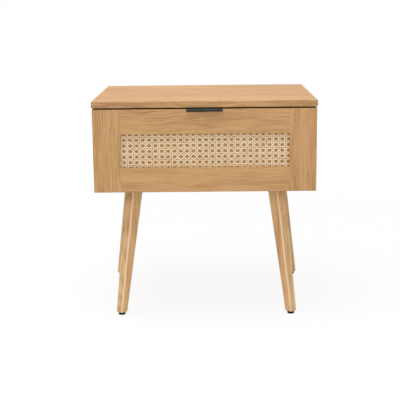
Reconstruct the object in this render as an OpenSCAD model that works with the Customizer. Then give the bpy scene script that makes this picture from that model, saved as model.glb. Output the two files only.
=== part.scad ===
// Bedside table with one full-width drawer on ball-bearing slides and four splayed legs.
// The front faces -Y, +X is to the right as seen from the front, and the floor is z = 0.

/* [Overall] */
// Width of the top
top_w = 500; // [420:1:620]
// Depth of the top, front to back
top_d = 400; // [330:1:500]
// Height of the top's upper face above the floor
overall_h = 500; // [400:1:620]

/* [Carcass] */
// Thickness of the veneered boards
board_t = 15; // [12:1:20]
// Rounding of the edges of the top
top_ease = 1.2; // [0.5:0.1:3]
// How far the top stands out past the drawer front at each side
side_reveal = 1.5; // [0:0.5:5]
// Thickness of the back panel
back_t = 5; // [3:0.5:8]
// Width of the step in each side that takes the back panel
back_rebate = 8; // [6:0.5:9]

/* [Drawer front] */
// Height of the drawer front
front_h = 186; // [170:1:230]
// Thickness of the drawer front
front_t = 18; // [16:0.5:22]
// Dark gap between the top and the drawer front
front_gap = 3; // [2.5:0.5:6]
// Width of each upright of the frame
stile_w = 60; // [45:1:80]
// Height of the cane window
window_h = 75; // [50:1:100]
// Thickness of the lip in front of the cane
window_lip = 5; // [3:0.5:7]
// Width of the step behind the lip
window_step = 10; // [8:0.5:12]
// Thickness of the cane webbing
cane_t = 1.5; // [1:0.1:2]
// Thickness of the board behind the cane
cane_board_t = 5; // [3:0.5:6]

/* [Drawer box] */
// Thickness of the drawer box's boards
box_t = 12; // [10:0.5:15]
// Height of the drawer box
box_h = 120; // [90:1:130]
// Clear height under the drawer box
box_lift = 12; // [8:1:16]
// Thickness of the drawer's bottom
box_bottom_t = 5; // [3:0.5:6]
// Depth of the groove that holds the drawer's bottom
groove_depth = 6; // [4:0.5:7]

/* [Slides] */
// Height of the slides
slide_h = 45; // [42:1:48]
// Thickness of a closed slide
slide_t = 12.7; // [12.7:0.1:14]
// Diameter of the bearing balls
ball_d = 4; // [3.6:0.1:4]
// Balls in each row
balls_per_row = 8; // [4:1:8]

/* [Handle] */
// Width of the edge pull
pull_w = 80; // [50:1:140]
// Thickness of its metal
pull_t = 1.2; // [1:0.1:1.6]
// How far it stands in front of the drawer
pull_nose = 5; // [4:0.5:8]
// How far its lip hangs below the drawer front's top edge
pull_drop = 5.5; // [4.5:0.5:10]

/* [Legs] */
// Side of a leg's square section at the top
leg_top_side = 31; // [26:0.5:40]
// Side of a leg's square section at the floor
leg_foot_side = 20; // [18:0.5:28]
// Rounding of the leg's edges
leg_edge_r = 4.5; // [2:0.5:6]
// Distance from the top's side edge to the middle of a front leg's upper end
front_leg_in_x = 86; // [60:1:120]
// Distance from the top's front edge to the middle of a front leg's upper end
front_leg_in_y = 76; // [60:1:110]
// Distance from the top's side edge to the middle of a back leg's upper end
back_leg_in_x = 67; // [60:1:120]
// Distance from the top's back edge to the middle of a back leg's upper end
back_leg_in_y = 52; // [50:1:110]
// Sideways splay of the front legs, degrees
front_splay_x = 6.5; // [0:0.1:12]
// Forward splay of the front legs, degrees
front_splay_y = 8; // [0:0.1:12]
// Sideways splay of the back legs, degrees
back_splay_x = 8.3; // [0:0.1:12]
// Backward splay of the back legs, degrees
back_splay_y = 5.3; // [0:0.1:12]
// Height of the glide under each foot
glide_h = 6; // [4:0.5:10]
// Diameter of the glide
glide_d = 16; // [12:0.5:18]

/* [Hidden] */
$fn = 48;
hull_fn = 32;

// Clearances
fit_gap = 0.05;        // a fastener in its hole
run_gap = 0.05;        // a ball in its race
loose_gap = 0.5;       // a panel in its step or groove
buffer_t = 1.9;        // thickness of the door buffers
buffer_gap = 0.1;      // air between a buffer and the closed drawer front
bevel_cut = 0.01;      // overshoot of a cutting tool

// Carcass
body_w = top_w - 2 * side_reveal;
side_in = body_w / 2 - board_t;
front_y = -top_d / 2;
back_y = top_d / 2;
carcass_front_y = front_y + front_t + buffer_t + buffer_gap;
top_under_z = overall_h - board_t;
front_top_z = top_under_z - front_gap;
front_low_z = front_top_z - front_h;
floor_of_case_z = front_low_z + board_t;
inner_back_y = back_y - back_t;

// Drawer
slide_setback = 2;
slide_len = 50 * floor((inner_back_y - carcass_front_y - slide_setback - 3) / 50);
slide_y0 = carcass_front_y + slide_setback;
box_w = 2 * (side_in - slide_t - 0.3);
box_y0 = front_y + front_t;
box_d = slide_len;
box_z0 = floor_of_case_z + box_lift;
box_groove_z = 10;
slide_z = box_z0 + 50;
rail_h = (front_h - window_h) / 2;
window_w = body_w - 2 * stile_w;
window_z0 = front_low_z + rail_h;

// Legs
plate_t = 3;
plate_side = 60;
plate_screw_at = 22;
leg_top_z = front_low_z - plate_t;
leg_run = leg_top_z - glide_h;
function leg_top(sx, sy) = [
    sx * (top_w / 2 - (sy < 0 ? front_leg_in_x : back_leg_in_x)),
    sy * (top_d / 2 - (sy < 0 ? front_leg_in_y : back_leg_in_y))];
function leg_slope(sx, sy) = [
    sx * tan(sy < 0 ? front_splay_x : back_splay_x),
    sy * tan(sy < 0 ? front_splay_y : back_splay_y)];
function leg_at(sx, sy, z) = leg_top(sx, sy) + leg_slope(sx, sy) * (leg_top_z - z);
CORNERS = [[-1, -1], [1, -1], [-1, 1], [1, 1]];

// Fasteners: [shank diameter, length, head diameter, head height]
plate_screw = [4, 14, 8, 2.2];
back_screw = [3, 16, 6, 1.8];
slide_screw = [3.5, 11, 6.4, 1.2];
box_screw = [4, 34, 7.5, 2];
face_screw = [4, 25, 7.5, 2];
pull_screw = [2.6, 14, 5.2, 1.2];

// Slide section, measured from the carcass side (u) and from the slide's middle (v)
steel_t = 1.2;
race_r = ball_d / 2 + run_gap;
rib_side = 1.2;
rib_stop = 0.7;
outer_v = slide_h / 2 - steel_t - race_r;
outer_u = 6;
middle_v = outer_v - race_r - steel_t;
inner_v = middle_v - steel_t / 2 - race_r + 0.6;
inner_u = 7.5;
inner_flange_v = inner_v - race_r;
middle_web_u = 2.2;
cage_t = 0.5;
cage_strip = 0.7;
cage_half = 2.9;
ball_pitch = 18;
cage_len = ball_pitch * balls_per_row;

// ---- Helpers ----

// Box from a low corner to a high corner.
module block(lo, hi) {
    translate(lo) cube(hi - lo);
}

// Turns +Z to point along a row axis.
module facing(dir) {
    if (dir == "+z") children();
    else if (dir == "-z") rotate([180, 0, 0]) children();
    else if (dir == "+x") rotate([0, 90, 0]) children();
    else if (dir == "-x") rotate([0, -90, 0]) children();
    else if (dir == "+y") rotate([-90, 0, 0]) children();
    else rotate([90, 0, 0]) children();
}

// Rectangle with round corners, centred.
module round_rect(w, h, r) {
    square([w - 2 * r, h], center = true);
    square([w, h - 2 * r], center = true);
    for (x = [-1, 1], y = [-1, 1])
        translate([x * (w / 2 - r), y * (h / 2 - r)]) circle(r);
}

// Board with every edge rounded, its middle at the origin.
module eased_board(w, d, t, r) {
    intersection() {
        translate([0, 0, -t / 2]) linear_extrude(t) round_rect(w, d, r);
        translate([-w / 2, 0, 0]) rotate([90, 0, 90]) linear_extrude(w) round_rect(d, t, r);
        translate([0, d / 2, 0]) rotate([90, 0, 0]) linear_extrude(d) round_rect(w, t, r);
    }
}

// Countersunk wood screw: head face at z = 0, point towards -Z.
// With a gap it is the hole for that screw.
module csk_screw(s, gap = 0) {
    head_r = s[2] / 2 + gap;
    shank_r = s[0] / 2 + gap;
    over = gap > 0 ? bevel_cut : 0;
    difference() {
        rotate_extrude() polygon([[0, over], [head_r, over], [head_r, 0], [shank_r, -s[3]],
            [shank_r, -s[1] + s[0] - gap], [gap + 0.3, -s[1] - gap], [0, -s[1] - gap]]);
        if (gap == 0)
            for (a = [0, 90])
                rotate(a) block([-s[2] * 0.3, -s[2] * 0.06, -s[3] * 0.55],
                    [s[2] * 0.3, s[2] * 0.06, 1]);
    }
}

// ---- Carcass fasteners ----

cam_d = 15;
cam_h = 12;
cam_reach = 34;
post_d = 6;
post_bore = 8;
post_in = 10;
top_cam_y = [-0.3 * top_d, 0.3 * top_d];
low_cam_y = [-0.12 * top_d, 0.17 * top_d];
dowel_d = 8;
dowel_len = 30;
dowel_in = 10;
top_dowel_y = [-0.15 * top_d, 0.15 * top_d];
low_dowel_y = [-0.36 * top_d, 0.02 * top_d, 0.4 * top_d];
side_mid = body_w / 2 - board_t / 2;
low_mid_z = front_low_z + board_t / 2;

// Cam: a disc with a mouth for the post's head and a cross slot on its face.
module cam(mouth_a) {
    difference() {
        translate([0, 0, -cam_h]) cylinder(d = cam_d, h = cam_h);
        translate([0, 0, -cam_h / 2 - 1.5]) rotate([0, 0, mouth_a]) facing("+x")
            translate([0, 0, -post_bore / 2]) cylinder(d = post_bore, h = cam_d);
        for (a = [0, 90]) rotate(a) block([-4.5, -0.8, -1.6], [4.5, 0.8, 1]);
    }
}

// Places a child at each cam in a side panel, face towards the case's inside.
module at_top_cams() {
    for (s = [-1, 1], y = top_cam_y)
        translate([s * side_in, y, top_under_z - cam_reach])
            facing(s > 0 ? "-x" : "+x") children();
}

// Places a child at each cam in the bottom panel, face down.
module at_low_cams() {
    for (s = [-1, 1], y = low_cam_y)
        translate([s * (side_in - cam_reach), y, front_low_z]) facing("-z") children();
}

// Posts that stand in the top and reach down into the side's cams.
module top_posts(gap = 0) {
    for (s = [-1, 1], y = top_cam_y)
        translate([s * (side_in + cam_h / 2 + 1.5), y, top_under_z - cam_reach + 1])
            cylinder(d = post_d + 2 * gap, h = cam_reach + post_in - 1 + gap);
}

// Posts that stand in the sides and reach into the bottom panel's cams.
module low_posts(gap = 0) {
    for (s = [-1, 1], y = low_cam_y)
        translate([s * (side_in - cam_reach + 1), y, front_low_z + cam_h / 2 + 1.5])
            facing(s > 0 ? "+x" : "-x")
                cylinder(d = post_d + 2 * gap, h = cam_reach + post_in - 1 + gap);
}

module top_dowels(gap = 0) {
    for (s = [-1, 1], y = top_dowel_y)
        translate([s * side_mid, y, top_under_z + dowel_in - dowel_len - gap])
            cylinder(d = dowel_d + 2 * gap, h = dowel_len + 2 * gap);
}

module low_dowels(gap = 0) {
    for (s = [-1, 1], y = low_dowel_y)
        translate([s * (side_in + dowel_in + gap), y, low_mid_z])
            facing(s > 0 ? "-x" : "+x")
                cylinder(d = dowel_d + 2 * gap, h = dowel_len + 2 * gap);
}

// Screws through the back panel into the sides and the bottom panel.
module back_screw_set(gap = 0) {
    side_x = body_w / 2 - back_rebate / 2 - 3;
    for (s = [-1, 1], k = [0.2, 0.5, 0.8])
        translate([s * side_x, back_y, front_low_z + k * (top_under_z - front_low_z)])
            facing("+y") csk_screw(back_screw, gap);
    for (k = [-0.3, 0, 0.3])
        translate([k * body_w, back_y, low_mid_z]) facing("+y") csk_screw(back_screw, gap);
}

// ---- Carcass ----

module top_panel() {
    color("burlywood") difference() {
        translate([0, 0, overall_h - board_t / 2]) eased_board(top_w, top_d, board_t, top_ease);
        top_posts(fit_gap);
        top_dowels(fit_gap);
    }
}

module side_panel(s) {
    color("tan") difference() {
        mirror([s > 0 ? 0 : 1, 0, 0]) difference() {
            block([side_in, carcass_front_y, front_low_z], [body_w / 2, back_y, top_under_z]);
            block([side_in - 1, inner_back_y, front_low_z - 1],
                [body_w / 2 - board_t + back_rebate, back_y + 1, top_under_z + 1]);
        }
        at_top_cams() translate([0, 0, -cam_h - fit_gap]) cylinder(d = cam_d + 2 * fit_gap, h = cam_h + 1);
        translate([0, 0, -bevel_cut]) top_posts(1);
        low_posts(fit_gap);
        top_dowels(fit_gap);
        low_dowels(fit_gap);
        back_screw_set(fit_gap);
        slide_screw_set(fit_gap);
    }
}

module side_panel_left() { side_panel(-1); }
module side_panel_right() { side_panel(1); }

module bottom_panel() {
    color("burlywood") difference() {
        block([-side_in, carcass_front_y, front_low_z], [side_in, inner_back_y, floor_of_case_z]);
        at_low_cams() translate([0, 0, -cam_h - fit_gap]) cylinder(d = cam_d + 2 * fit_gap, h = cam_h + 1);
        low_posts(1);
        low_dowels(fit_gap);
        back_screw_set(fit_gap);
        plate_screw_set(fit_gap);
        for (c = CORNERS)
            translate([leg_top(c[0], c[1])[0], leg_top(c[0], c[1])[1], front_low_z - 1])
                cylinder(r = hub_pocket_r, h = hub_pocket_h + 1);
    }
}

module back_panel() {
    w = 2 * (side_in + back_rebate) - loose_gap;
    color("wheat") difference() {
        block([-w / 2, inner_back_y, front_low_z], [w / 2, back_y, top_under_z]);
        back_screw_set(fit_gap);
    }
}

// ---- Drawer front ----

// The step behind the window, cut from both stiles and rails.
module window_step_cut() {
    block([-window_w / 2 - window_step, front_y + window_lip, window_z0 - window_step],
        [window_w / 2 + window_step, front_y + front_t + 1, window_z0 + window_h + window_step]);
}

module drawer_stile(s) {
    color("burlywood") difference() {
        mirror([s > 0 ? 0 : 1, 0, 0])
            block([window_w / 2, front_y, front_low_z], [body_w / 2, front_y + front_t, front_top_z]);
        window_step_cut();
        face_screw_set(fit_gap);
    }
}

module drawer_stile_left() { drawer_stile(-1); }
module drawer_stile_right() { drawer_stile(1); }

module drawer_rail_top() {
    color("burlywood") difference() {
        block([-window_w / 2, front_y, window_z0 + window_h], [window_w / 2, front_y + front_t, front_top_z]);
        window_step_cut();
        pull_screw_set(fit_gap);
    }
}

module drawer_rail_bottom() {
    color("burlywood") difference() {
        block([-window_w / 2, front_y, front_low_z], [window_w / 2, front_y + front_t, window_z0]);
        window_step_cut();
    }
}

// A panel that fills the step, from one depth behind the lip to another.
module step_panel(y0, y1) {
    g = window_step - loose_gap / 2;
    block([-window_w / 2 - g, front_y + window_lip + y0, window_z0 - g],
        [window_w / 2 + g, front_y + window_lip + y1, window_z0 + window_h + g]);
}

module cane_webbing() {
    color("wheat") step_panel(0, cane_t);
}

module cane_backing_board() {
    color("peru") step_panel(cane_t, cane_t + cane_board_t);
}

// Beads that hold the cane and its board in the step.
module cane_retaining_beads() {
    y0 = front_y + window_lip + cane_t + cane_board_t;
    y1 = front_y + front_t;
    bead = window_step - loose_gap / 2;
    x1 = window_w / 2 + bead;
    z0 = window_z0 - bead;
    z1 = window_z0 + window_h + bead;
    color("tan") {
        block([-x1, y0, z0], [x1, y1, z0 + bead]);
        block([-x1, y0, z1 - bead], [x1, y1, z1]);
        for (s = [-1, 1])
            block([s > 0 ? x1 - bead : -x1, y0, z0 + bead + loose_gap],
                [s > 0 ? x1 : -x1 + bead, y1, z1 - bead - loose_gap]);
    }
}

// Screws from inside the box into the stiles.
module face_screw_set(gap = 0) {
    for (s = [-1, 1], z = [25, box_h - 25])
        translate([s * (box_w / 2 - box_t - 5), box_y0 + box_t, box_z0 + z])
            facing("+y") csk_screw(face_screw, gap);
}

module drawer_face_screws() { color("silver") face_screw_set(); }

// ---- Drawer box ----

groove_lo_z = box_z0 + box_groove_z;

// The groove round the inside of the box that takes the bottom.
module groove_cut() {
    block([-box_w / 2 + box_t - groove_depth, box_y0 + box_t - groove_depth, groove_lo_z],
        [box_w / 2 - box_t + groove_depth, box_y0 + box_d - box_t + groove_depth,
            groove_lo_z + box_bottom_t + 0.2]);
}

// Screws from the outside of the box's sides into its front and back.
module box_screw_set(gap = 0) {
    for (s = [-1, 1], y = [box_y0 + box_t / 2, box_y0 + box_d - box_t / 2], z = [20, box_h - 14])
        translate([s * box_w / 2, y, box_z0 + z])
            facing(s > 0 ? "+x" : "-x") csk_screw(box_screw, gap);
}

module drawer_side(s) {
    color("tan") difference() {
        mirror([s > 0 ? 0 : 1, 0, 0])
            block([box_w / 2 - box_t, box_y0, box_z0], [box_w / 2, box_y0 + box_d, box_z0 + box_h]);
        groove_cut();
        box_screw_set(fit_gap);
        drawer_slide_screw_set(fit_gap);
    }
}

module drawer_side_left() { drawer_side(-1); }
module drawer_side_right() { drawer_side(1); }

module drawer_box_front() {
    color("tan") difference() {
        block([-box_w / 2 + box_t, box_y0, box_z0], [box_w / 2 - box_t, box_y0 + box_t, box_z0 + box_h]);
        groove_cut();
        box_screw_set(fit_gap);
        face_screw_set(fit_gap);
    }
}

module drawer_box_back() {
    color("tan") difference() {
        block([-box_w / 2 + box_t, box_y0 + box_d - box_t, box_z0],
            [box_w / 2 - box_t, box_y0 + box_d, box_z0 + box_h]);
        groove_cut();
        box_screw_set(fit_gap);
    }
}

module drawer_bottom() {
    g = groove_depth - loose_gap;
    color("wheat") block([-box_w / 2 + box_t - g, box_y0 + box_t - g, groove_lo_z],
        [box_w / 2 - box_t + g, box_y0 + box_d - box_t + g, groove_lo_z + box_bottom_t]);
}

module drawer_box_screws() { color("silver") box_screw_set(); }

// Soft buffers on the carcass's front edges.
module drawer_buffers() {
    color("gray") for (s = [-1, 1], z = [front_low_z + 0.12 * front_h, top_under_z - 0.12 * front_h])
        translate([s * side_mid, carcass_front_y, z]) facing("-y") cylinder(d = 8, h = buffer_t);
}

// ---- Edge pull ----

pull_flange = 14;
pull_ear = 1.5;

// Section of the pull in the Y-Z plane, with the nose towards -Y.
module pull_profile(solid_nose) {
    r = pull_nose;
    top_z = front_top_z + pull_t;
    lip_z = front_top_z - pull_drop;
    difference() {
        union() {
            translate([front_y, front_top_z]) square([pull_flange, pull_t]);
            intersection() {
                translate([front_y, top_z - r]) circle(r);
                translate([front_y - r, top_z - r]) square([r, r]);
            }
            translate([front_y - r, lip_z]) square([r, top_z - r - lip_z]);
        }
        if (!solid_nose) {
            intersection() {
                translate([front_y, top_z - r]) circle(r - pull_t);
                translate([front_y - r, top_z - r - bevel_cut]) square([r, r]);
            }
            translate([front_y - r + pull_t, lip_z - 1]) square([r - pull_t, top_z - r - lip_z + 1]);
        }
    }
}

module along_x(x0, x1) {
    translate([x0, 0, 0]) rotate([90, 0, 90]) linear_extrude(x1 - x0) children();
}

module pull_screw_set(gap = 0) {
    for (s = [-1, 1])
        translate([s * pull_w * 0.35, front_y + pull_flange * 0.6, front_top_z + pull_t])
            csk_screw(pull_screw, gap);
}

module edge_pull() {
    color("dimgray") difference() {
        union() {
            along_x(-pull_w / 2, pull_w / 2) pull_profile(false);
            for (x0 = [-pull_w / 2, pull_w / 2 - pull_ear]) along_x(x0, x0 + pull_ear) pull_profile(true);
        }
        pull_screw_set(fit_gap);
    }
}

module edge_pull_screws() { color("black") pull_screw_set(); }

// ---- Slides ----

// Runs a slide section along the slide, at the right or the left side of the case.
module slide_bar(s, y0, len) {
    mirror([s > 0 ? 0 : 1, 0, 0]) translate([side_in, y0 + len, slide_z])
        rotate([90, 0, 0]) linear_extrude(len) mirror([1, 0]) children();
}

// A flange with a rib on one side or both, seen from above the middle line.
module flange(u0, u1, v) {
    translate([u0, v]) square([u1 - u0, steel_t]);
}

// A rib round a ball row, from one height to another, less the race.
module rib(u, v0, v1) {
    translate([u - race_r - rib_side + 0.2, v0]) square([2 * (race_r + rib_side - 0.2), v1 - v0]);
}

module both_ways() {
    children();
    mirror([0, 1]) children();
}

module race(u, v) {
    translate([u, v]) circle(race_r);
}

module outer_section() {
    both_ways() difference() {
        union() {
            square([steel_t, slide_h / 2]);
            flange(0, outer_u + race_r + rib_side + 0.3, slide_h / 2 - steel_t);
            rib(outer_u, outer_v + rib_stop, slide_h / 2 - bevel_cut);
        }
        race(outer_u, outer_v);
    }
}

module middle_section() {
    both_ways() difference() {
        union() {
            translate([middle_web_u, 0]) square([steel_t, middle_v + steel_t]);
            flange(middle_web_u, inner_u + race_r + rib_side - 0.2, middle_v);
            rib(outer_u, middle_v + steel_t / 2, outer_v - rib_stop);
            rib(inner_u, inner_v + rib_stop, middle_v + steel_t / 2);
        }
        race(outer_u, outer_v);
        race(inner_u, inner_v);
    }
}

module inner_section() {
    both_ways() difference() {
        union() {
            translate([slide_t - steel_t, 0]) square([steel_t, inner_flange_v]);
            flange(inner_u - race_r - rib_side + 0.2, slide_t, inner_flange_v - steel_t);
            rib(inner_u, inner_flange_v - steel_t / 2, inner_v - rib_stop);
        }
        race(inner_u, inner_v);
    }
}

module cage_section(web_u, u, v) {
    both_ways() {
        translate([web_u, 0]) square([cage_t, v + cage_strip / 2]);
        translate([web_u, v - cage_strip / 2]) square([u + cage_half - web_u, cage_strip]);
    }
}

outer_cage_u = 1.45;
inner_cage_u = 3.65;
cage_y0 = slide_y0 + (slide_len - cage_len) / 2;

// Places a child at every ball of one row pair.
module at_balls(s, u, v) {
    for (k = [0 : balls_per_row - 1], w = [-1, 1])
        translate([s * (side_in - u), cage_y0 + (k + 0.5) * ball_pitch, slide_z + w * v]) children();
}

module cage(s, web_u, u, v) {
    color("gainsboro") difference() {
        slide_bar(s, cage_y0, cage_len) cage_section(web_u, u, v);
        at_balls(s, u, v) translate([0, 0, -1]) cylinder(r = ball_d / 2 + fit_gap, h = 2);
    }
}

module balls(s, u, v) {
    color("silver") at_balls(s, u, v) sphere(d = ball_d);
}

module slide_outer(s) {
    color("silver") difference() {
        slide_bar(s, slide_y0, slide_len) outer_section();
        slide_screw_set(fit_gap);
    }
}

module slide_inner(s) {
    color("silver") difference() {
        slide_bar(s, slide_y0, slide_len) inner_section();
        drawer_slide_screw_set(fit_gap);
    }
}

module slide_outer_left() { slide_outer(-1); }
module slide_outer_right() { slide_outer(1); }
module slide_middle_left() { color("lightgray") slide_bar(-1, slide_y0, slide_len) middle_section(); }
module slide_middle_right() { color("lightgray") slide_bar(1, slide_y0, slide_len) middle_section(); }
module slide_inner_left() { slide_inner(-1); }
module slide_inner_right() { slide_inner(1); }
module outer_cage_left() { cage(-1, outer_cage_u, outer_u, outer_v); }
module outer_cage_right() { cage(1, outer_cage_u, outer_u, outer_v); }
module inner_cage_left() { cage(-1, inner_cage_u, inner_u, inner_v); }
module inner_cage_right() { cage(1, inner_cage_u, inner_u, inner_v); }
module outer_balls_left() { balls(-1, outer_u, outer_v); }
module outer_balls_right() { balls(1, outer_u, outer_v); }
module inner_balls_left() { balls(-1, inner_u, inner_v); }
module inner_balls_right() { balls(1, inner_u, inner_v); }

slide_screw_y = [35, 0.45 * slide_len, slide_len - 35];

// Screws through the outer members into the carcass sides.
module slide_screw_set(gap = 0) {
    for (s = [-1, 1], y = slide_screw_y)
        translate([s * (side_in - steel_t), slide_y0 + y, slide_z])
            facing(s > 0 ? "-x" : "+x") csk_screw(slide_screw, gap);
}

// Screws through the inner members into the drawer's sides.
module drawer_slide_screw_set(gap = 0) {
    for (s = [-1, 1], y = slide_screw_y)
        translate([s * (side_in - slide_t + steel_t), slide_y0 + y, slide_z])
            facing(s > 0 ? "+x" : "-x") csk_screw(slide_screw, gap);
}

module slide_screws_case() { color("gray") slide_screw_set(); }
module slide_screws_drawer() { color("gray") drawer_slide_screw_set(); }

// ---- Legs ----

hub_r = 6.5;
hub_h = 8;
hub_pocket_r = 11;
hub_pocket_h = 11;
bolt_d = 8;
bolt_in_leg = 32;
bolt_above = 10;
foot_ease = 1.5;
nail_len = 20;
nail_d = 3;

// Turns a child's Z axis onto a leg's own axis, at the middle of the leg's upper end.
module on_leg_axis(sx, sy) {
    t = leg_top(sx, sy);
    g = leg_slope(sx, sy);
    translate([t[0], t[1], leg_top_z])
        rotate([0, 0, atan2(g[1], g[0])]) rotate([0, -atan(norm(g)), 0]) children();
}

// Thin slice of a leg: a square with round corners, turned so that an edge faces forwards.
module leg_slice(sx, sy, z, side, r) {
    p = leg_at(sx, sy, z);
    translate([p[0], p[1], z]) rotate(45) linear_extrude(0.02)
        offset(r = r, $fn = hull_fn) square(side - 2 * r, center = true);
}

module leg(sx, sy) {
    side_at_ease = leg_foot_side + (leg_top_side - leg_foot_side) * foot_ease / leg_run;
    foot = leg_at(sx, sy, glide_h);
    color("burlywood") difference() {
        hull() {
            leg_slice(sx, sy, leg_top_z - 0.02, leg_top_side, leg_edge_r);
            leg_slice(sx, sy, glide_h + foot_ease, side_at_ease, leg_edge_r);
            leg_slice(sx, sy, glide_h, leg_foot_side - 2 * foot_ease, leg_edge_r - foot_ease);
        }
        on_leg_axis(sx, sy) translate([0, 0, -bolt_in_leg - 1])
            cylinder(d = bolt_d + 2 * fit_gap, h = bolt_in_leg + 3);
        translate([foot[0], foot[1], glide_h - 1])
            cylinder(d = nail_d + 2 * fit_gap, h = nail_len + 1);
    }
}

module leg_front_left() { leg(-1, -1); }
module leg_front_right() { leg(1, -1); }
module leg_back_left() { leg(-1, 1); }
module leg_back_right() { leg(1, 1); }

// Screws that hold a leg's plate under the bottom panel.
module plate_screw_set(gap = 0) {
    for (c = CORNERS, k = CORNERS)
        translate([leg_top(c[0], c[1])[0] + k[0] * plate_screw_at,
            leg_top(c[0], c[1])[1] + k[1] * plate_screw_at, leg_top_z])
            facing("-z") csk_screw(plate_screw, gap);
}

module leg_plate(sx, sy) {
    t = leg_top(sx, sy);
    color("dimgray") difference() {
        union() {
            translate([t[0], t[1], leg_top_z]) linear_extrude(plate_t) round_rect(plate_side, plate_side, 6);
            intersection() {
                on_leg_axis(sx, sy) translate([0, 0, -3]) cylinder(r = hub_r, h = plate_t + hub_h + 3);
                translate([t[0] - plate_side, t[1] - plate_side, leg_top_z])
                    cube([2 * plate_side, 2 * plate_side, 40]);
            }
        }
        on_leg_axis(sx, sy) translate([0, 0, -5]) cylinder(d = bolt_d + 2 * fit_gap, h = 40);
        plate_screw_set(fit_gap);
    }
}

module leg_plate_front_left() { leg_plate(-1, -1); }
module leg_plate_front_right() { leg_plate(1, -1); }
module leg_plate_back_left() { leg_plate(-1, 1); }
module leg_plate_back_right() { leg_plate(1, 1); }
module leg_plate_screws() { color("silver") plate_screw_set(); }

// Bolt screwed into each leg, which turns into its plate's hub.
module leg_bolts() {
    color("silver") for (c = CORNERS)
        on_leg_axis(c[0], c[1]) translate([0, 0, -bolt_in_leg])
            cylinder(d = bolt_d, h = bolt_in_leg + bolt_above);
}

// Glide: a disc with a round lower edge and a counterbore for its nail.
module glide(sx, sy) {
    foot = leg_at(sx, sy, glide_h);
    r = glide_d / 2;
    e = 1;
    color("black") translate([foot[0], foot[1], 0]) difference() {
        union() {
            translate([0, 0, e]) cylinder(r = r, h = glide_h - e);
            cylinder(r = r - e, h = 2 * e);
            rotate_extrude() translate([r - e, e]) circle(e);
        }
        translate([0, 0, -1]) cylinder(d = nail_d + 2 * fit_gap, h = glide_h + 2);
        translate([0, 0, -1]) cylinder(d = 2.4 * nail_d + 2 * fit_gap, h = 3);
    }
}

module glide_front_left() { glide(-1, -1); }
module glide_front_right() { glide(1, -1); }
module glide_back_left() { glide(-1, 1); }
module glide_back_right() { glide(1, 1); }

module glide_nails() {
    color("silver") for (c = CORNERS) {
        foot = leg_at(c[0], c[1], glide_h);
        translate([foot[0], foot[1], 0]) {
            translate([0, 0, 0.6]) cylinder(d = 2.4 * nail_d, h = 1.4);
            translate([0, 0, 1]) cylinder(d = nail_d, h = nail_len);
        }
    }
}

// ---- Hardware groups ----

module cam_locks() {
    color("silver") {
        for (s = [-1, 1], y = top_cam_y)
            translate([s * side_in, y, top_under_z - cam_reach])
                facing(s > 0 ? "-x" : "+x") cam(s > 0 ? 0 : 180);
        for (s = [-1, 1], y = low_cam_y)
            translate([s * (side_in - cam_reach), y, front_low_z])
                facing("-z") cam(s > 0 ? 0 : 180);
    }
}

module cam_posts() {
    color("silver") {
        top_posts();
        low_posts();
    }
}

module wood_dowels() {
    color("wheat") {
        top_dowels();
        low_dowels();
    }
}

module back_screws() { color("silver") back_screw_set(); }

// ---- What is drawn ----

top_panel();
side_panel_left();
side_panel_right();
bottom_panel();
back_panel();
drawer_stile_left();
drawer_stile_right();
drawer_rail_top();
drawer_rail_bottom();
cane_webbing();
cane_backing_board();
cane_retaining_beads();
drawer_side_left();
drawer_side_right();
drawer_box_front();
drawer_box_back();
drawer_bottom();
edge_pull();
edge_pull_screws();
slide_outer_left();
slide_outer_right();
slide_middle_left();
slide_middle_right();
slide_inner_left();
slide_inner_right();
outer_cage_left();
outer_cage_right();
inner_cage_left();
inner_cage_right();
outer_balls_left();
outer_balls_right();
inner_balls_left();
inner_balls_right();
slide_screws_case();
slide_screws_drawer();
leg_front_left();
leg_front_right();
leg_back_left();
leg_back_right();
leg_plate_front_left();
leg_plate_front_right();
leg_plate_back_left();
leg_plate_back_right();
leg_plate_screws();
leg_bolts();
glide_front_left();
glide_front_right();
glide_back_left();
glide_back_right();
glide_nails();
cam_locks();
cam_posts();
wood_dowels();
back_screws();
drawer_box_screws();
drawer_face_screws();
drawer_buffers();
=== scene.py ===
"""Finishes for a bedside table with one drawer, made round its fixed frame."""

import math

import bmesh
import bpy
from bpy.props import FloatProperty, FloatVectorProperty, IntProperty, PointerProperty
from bpy.types import Operator, Panel, PropertyGroup
from mathutils import Euler, Matrix, Vector


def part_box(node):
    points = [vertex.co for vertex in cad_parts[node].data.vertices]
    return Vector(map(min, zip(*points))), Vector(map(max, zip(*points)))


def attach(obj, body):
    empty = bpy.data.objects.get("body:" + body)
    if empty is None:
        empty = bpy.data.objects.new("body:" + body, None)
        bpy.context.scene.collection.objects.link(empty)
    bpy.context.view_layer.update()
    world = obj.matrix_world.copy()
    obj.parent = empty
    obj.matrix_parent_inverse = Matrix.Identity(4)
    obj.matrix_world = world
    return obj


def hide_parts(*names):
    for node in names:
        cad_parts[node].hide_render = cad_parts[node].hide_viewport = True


bl_info = {
    "name": "Bedside Table Finishes",
    "version": (1, 0, 0),
    "blender": (4, 5, 0),
    "location": "View3D > Sidebar > Table",
    "description": "Oak, cane, metal and plastic finishes for a bedside table, with its stage",
    "category": "Object",
}

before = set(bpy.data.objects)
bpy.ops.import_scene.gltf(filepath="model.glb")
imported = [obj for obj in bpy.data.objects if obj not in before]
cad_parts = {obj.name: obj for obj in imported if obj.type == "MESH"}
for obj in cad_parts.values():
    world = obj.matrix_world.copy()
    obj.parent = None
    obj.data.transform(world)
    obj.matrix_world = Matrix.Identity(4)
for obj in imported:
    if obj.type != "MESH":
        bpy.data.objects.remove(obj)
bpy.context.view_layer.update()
SIDES = ("left", "right")
CORNERS = ("front_left", "front_right", "back_left", "back_right")

WHITE = (1.0, 1.0, 1.0, 1.0)
TURN = 2 * math.pi

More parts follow.
